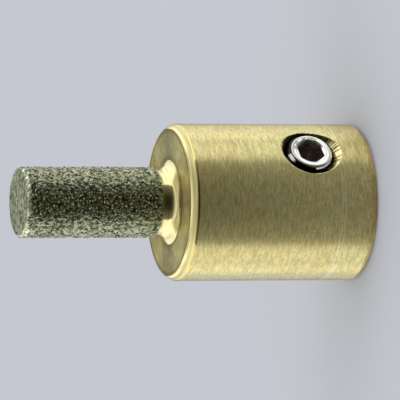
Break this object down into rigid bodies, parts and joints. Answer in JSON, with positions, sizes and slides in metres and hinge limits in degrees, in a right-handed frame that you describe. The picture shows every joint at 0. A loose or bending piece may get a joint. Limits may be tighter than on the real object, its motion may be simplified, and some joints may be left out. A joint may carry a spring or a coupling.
{
  "type": "diamond mounted point",
  "caption": "Slim diamond-coated grinding point on a round brass hub, with a blind spindle bore behind and a hex-socket set screw that clamps it.",
  "frame": {"origin": "centre of the hub's rear face, on the axis of the spindle bore", "axes": "+Z along the bore's axis towards the coated tip; the set screw looks along -Y; the hub stands on its rear face"},
  "size_m": [0.016, 0.016, 0.0358],
  "materials": {
    "brass": "turned, with fine rings and a soft sheen",
    "diamond_grit": "coarse grit held in a matt metal bond",
    "screw_steel": "bright plated steel"
  },
  "bodies": {
    "hub": {"brass_hub": "brass", "diamond_coating": "diamond_grit"},
    "set_screw": {"set_screw": "screw_steel"}
  },
  "joints": [
    {"name": "set_screw_travel", "type": "slide", "parent": "hub", "child": "set_screw", "axis": [0, 1, 0], "range_m": [-0.0016, 0.00018]}
  ]
}
